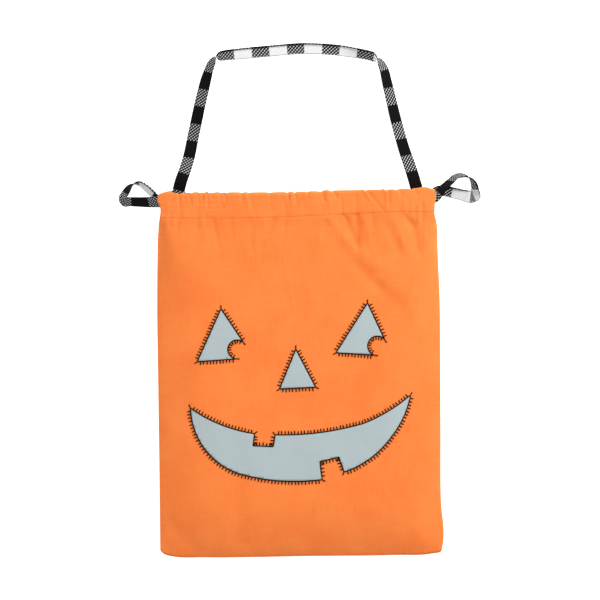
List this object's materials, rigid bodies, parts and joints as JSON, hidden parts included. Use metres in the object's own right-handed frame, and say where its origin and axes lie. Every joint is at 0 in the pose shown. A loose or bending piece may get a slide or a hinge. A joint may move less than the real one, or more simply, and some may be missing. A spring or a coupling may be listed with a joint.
{
  "type": "drawstring treat bag",
  "caption": "Flat cotton drawstring treat bag with appliqué pumpkin face, checked strap pull loops at the mouth and a long strap handle.",
  "frame": {"origin": "middle of the back panel's outer face, where the bag lies on a table", "axes": "+X to the right seen from the front, +Y from the bottom seam towards the handle, +Z out of the front panel"},
  "size_m": [0.3841, 0.5452, 0.0172],
  "materials": {
    "orange_cotton": "plain-weave cotton, matt, softly wrinkled",
    "check_strap": "twill-and-plain checked cotton strap in black, grey and white",
    "orange_thread": "matt sewing thread",
    "black_thread": "matt embroidery thread",
    "patch_cloth": "pale grey-blue cotton, matt"
  },
  "bodies": {
    "bag": {"back_panel": "orange_cotton", "front_panel": "orange_cotton", "back_casing": "orange_cotton", "back_casing_stitch": "orange_thread", "left_side_seam": "orange_cotton", "right_side_seam": "orange_cotton", "bottom_seam": "orange_cotton", "left_slit_stitch": "orange_thread", "right_slit_stitch": "orange_thread", "handle_left_foot": "check_strap", "handle_right_foot": "check_strap", "handle_left_tack": "black_thread", "handle_right_tack": "black_thread", "left_eye_patch": "patch_cloth", "right_eye_patch": "patch_cloth", "nose_patch": "patch_cloth", "mouth_patch": "patch_cloth", "left_eye_stitching": "black_thread", "right_eye_stitching": "black_thread", "nose_stitching": "black_thread", "mouth_stitching": "black_thread"},
    "front_flap": {"front_casing": "orange_cotton", "front_casing_stitch": "orange_thread"},
    "left_drawstring": {"left_pull_loop": "check_strap", "left_front_run": "check_strap"},
    "right_drawstring": {"right_pull_loop": "check_strap", "right_front_run": "check_strap"},
    "left_back_drawstring": {"left_back_run": "check_strap"},
    "right_back_drawstring": {"right_back_run": "check_strap"},
    "handle": {"handle_strap": "check_strap"}
  },
  "joints": [
    {"name": "mouth_open", "type": "hinge", "parent": "bag", "child": "front_flap", "pos_m": [0, 0.1475, 0.0161], "axis": [1, 0, 0], "range_deg": [0, 25]},
    {"name": "left_pull", "type": "slide", "parent": "front_flap", "child": "left_drawstring", "axis": [-1, 0, 0], "range_m": [0, 0.06]},
    {"name": "right_pull", "type": "slide", "parent": "front_flap", "child": "right_drawstring", "axis": [1, 0, 0], "range_m": [0, 0.06]},
    {"name": "left_back_pull", "type": "slide", "parent": "bag", "child": "left_back_drawstring", "axis": [-1, 0, 0], "range_m": [0, 0.06]},
    {"name": "right_back_pull", "type": "slide", "parent": "bag", "child": "right_back_drawstring", "axis": [1, 0, 0], "range_m": [0, 0.06]},
    {"name": "handle_swing", "type": "hinge", "parent": "bag", "child": "handle", "pos_m": [0, 0.204, 0.013], "axis": [1, 0, 0], "range_deg": [0, 120]}
  ],
  "couplings": [
    {"joint": "left_back_pull", "follows": "left_pull", "ratio": 1},
    {"joint": "right_back_pull", "follows": "right_pull", "ratio": 1}
  ]
}
